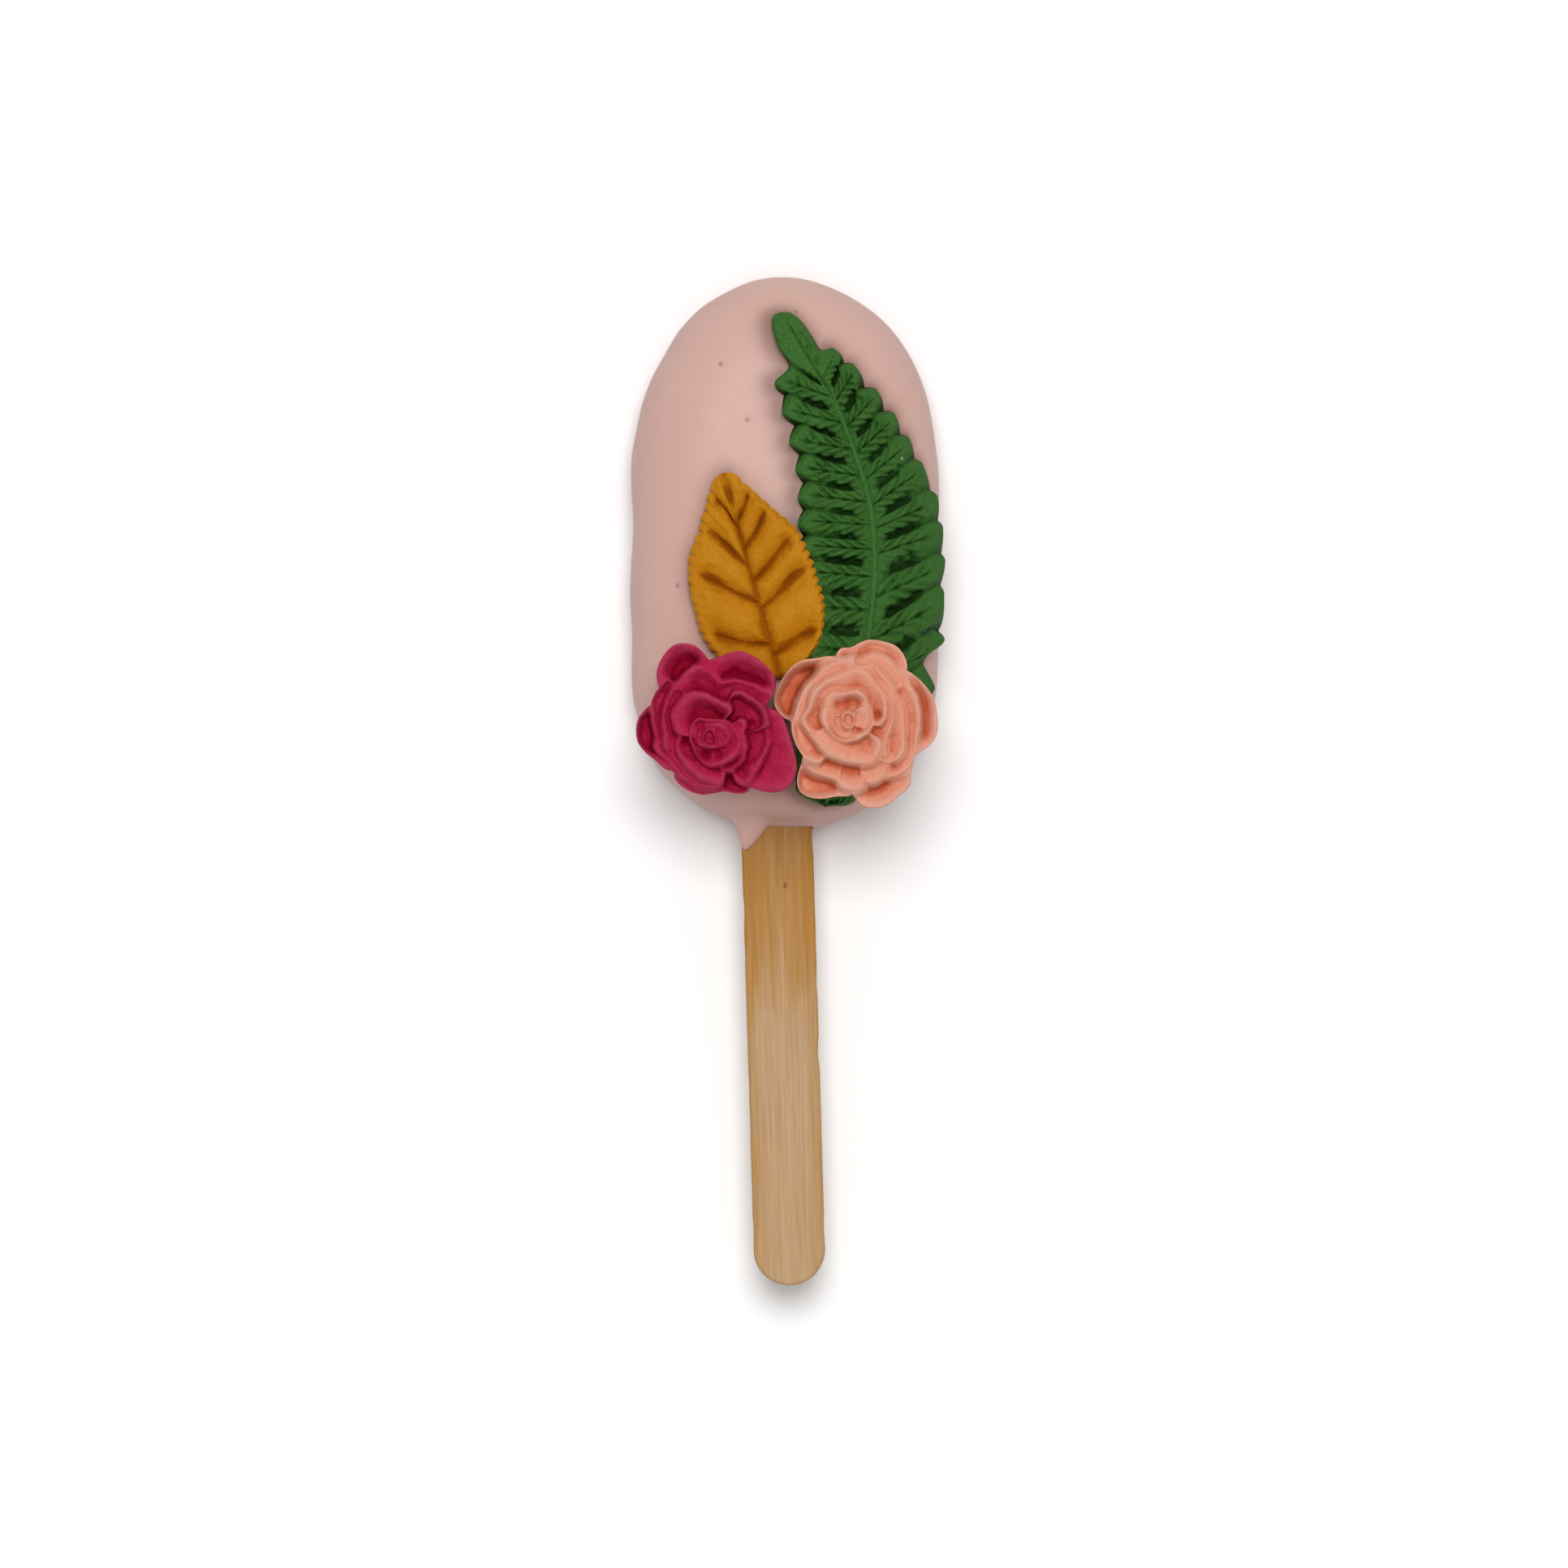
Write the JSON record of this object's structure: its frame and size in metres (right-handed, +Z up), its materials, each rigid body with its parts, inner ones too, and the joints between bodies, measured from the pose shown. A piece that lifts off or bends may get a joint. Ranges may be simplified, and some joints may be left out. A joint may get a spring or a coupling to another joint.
{
  "type": "cakesicle",
  "caption": "Bar of coated cake on a wooden stick, with a fern frond, a leaf and roses in coloured sugar paste, lying on its flat back.",
  "frame": {"origin": "middle of the cake's flat back, on the surface that it lies on", "axes": "+Z up through the trimmed side, +Y from the stick to the rounded head, +X to the right as seen from above"},
  "size_m": [0.0442, 0.1413, 0.0289],
  "materials": {
    "cake_coating": "set candy coating, satin",
    "stick_wood": "unfinished birch, stained by the coating near the cake",
    "green_paste": "sugar paste, matt",
    "mustard_paste": "sugar paste, matt",
    "magenta_paste": "sugar paste, matt",
    "peach_paste": "sugar paste, matt"
  },
  "bodies": {
    "root": {"coated_cake": "cake_coating", "stick": "stick_wood", "fern_frond": "green_paste", "mustard_leaf": "mustard_paste", "magenta_rose": "magenta_paste", "peach_rose": "peach_paste"}
  },
  "joints": []
}
